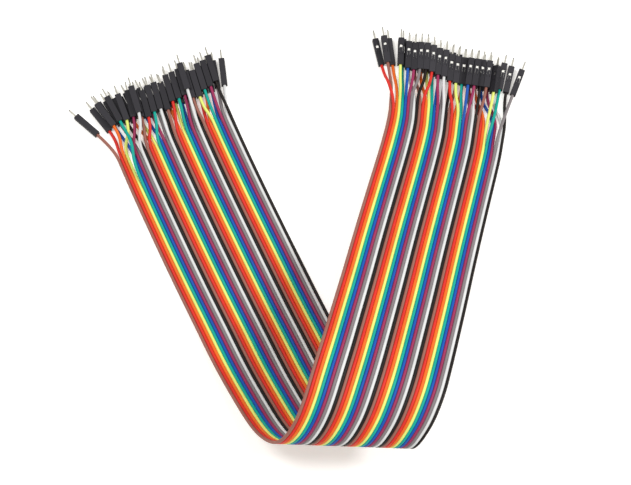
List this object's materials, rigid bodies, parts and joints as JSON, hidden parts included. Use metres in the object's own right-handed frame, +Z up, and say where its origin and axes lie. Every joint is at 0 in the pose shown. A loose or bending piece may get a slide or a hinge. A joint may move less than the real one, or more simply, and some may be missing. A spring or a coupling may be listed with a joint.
{
  "type": "jumper wire ribbon",
  "caption": "Flat rainbow ribbon of bonded jumper wires, folded over in one soft loop, split at both ends into single black connectors with square male pins.",
  "frame": {"origin": "centre of the footprint, on the surface that the ribbon lies on", "axes": "+Z up, +X to the right across both connector fans, +Y from the loop towards the connectors"},
  "size_m": [0.1884, 0.1837, 0.0474],
  "materials": {
    "insulation_brown": "flexible PVC insulation, brown",
    "insulation_red": "flexible PVC insulation, red",
    "insulation_orange": "flexible PVC insulation, orange",
    "insulation_yellow": "flexible PVC insulation, yellow",
    "insulation_green": "flexible PVC insulation, green",
    "insulation_blue": "flexible PVC insulation, blue",
    "insulation_purple": "flexible PVC insulation, purple",
    "insulation_grey": "flexible PVC insulation, grey",
    "insulation_white": "flexible PVC insulation, white",
    "insulation_black": "flexible PVC insulation, black",
    "housing_plastic": "moulded nylon, fine satin",
    "contact_metal": "tin-plated brass, bright"
  },
  "bodies": {
    "root": {"contacts_left_01_10": "contact_metal", "contacts_left_11_20": "contact_metal", "contacts_left_21_30": "contact_metal", "contacts_left_31_40": "contact_metal", "contacts_right_01_10": "contact_metal", "contacts_right_11_20": "contact_metal", "contacts_right_21_30": "contact_metal", "contacts_right_31_40": "contact_metal", "housings_left_01_10": "housing_plastic", "housings_left_11_20": "housing_plastic", "housings_left_21_30": "housing_plastic", "housings_left_31_40": "housing_plastic", "housings_right_01_10": "housing_plastic", "housings_right_11_20": "housing_plastic", "housings_right_21_30": "housing_plastic", "housings_right_31_40": "housing_plastic", "wire_01_brown": "insulation_brown", "wire_02_red": "insulation_red", "wire_03_orange": "insulation_orange", "wire_04_yellow": "insulation_yellow", "wire_05_green": "insulation_green", "wire_06_blue": "insulation_blue", "wire_07_purple": "insulation_purple", "wire_08_grey": "insulation_grey", "wire_09_white": "insulation_white", "wire_10_black": "insulation_black", "wire_11_brown": "insulation_brown", "wire_12_red": "insulation_red", "wire_13_orange": "insulation_orange", "wire_14_yellow": "insulation_yellow", "wire_15_green": "insulation_green", "wire_16_blue": "insulation_blue", "wire_17_purple": "insulation_purple", "wire_18_grey": "insulation_grey", "wire_19_white": "insulation_white", "wire_20_black": "insulation_black", "wire_21_brown": "insulation_brown", "wire_22_red": "insulation_red", "wire_23_orange": "insulation_orange", "wire_24_yellow": "insulation_yellow", "wire_25_green": "insulation_green", "wire_26_blue": "insulation_blue", "wire_27_purple": "insulation_purple", "wire_28_grey": "insulation_grey", "wire_29_white": "insulation_white", "wire_30_black": "insulation_black", "wire_31_brown": "insulation_brown", "wire_32_red": "insulation_red", "wire_33_orange": "insulation_orange", "wire_34_yellow": "insulation_yellow", "wire_35_green": "insulation_green", "wire_36_blue": "insulation_blue", "wire_37_purple": "insulation_purple", "wire_38_grey": "insulation_grey", "wire_39_white": "insulation_white", "wire_40_black": "insulation_black"}
  },
  "joints": []
}
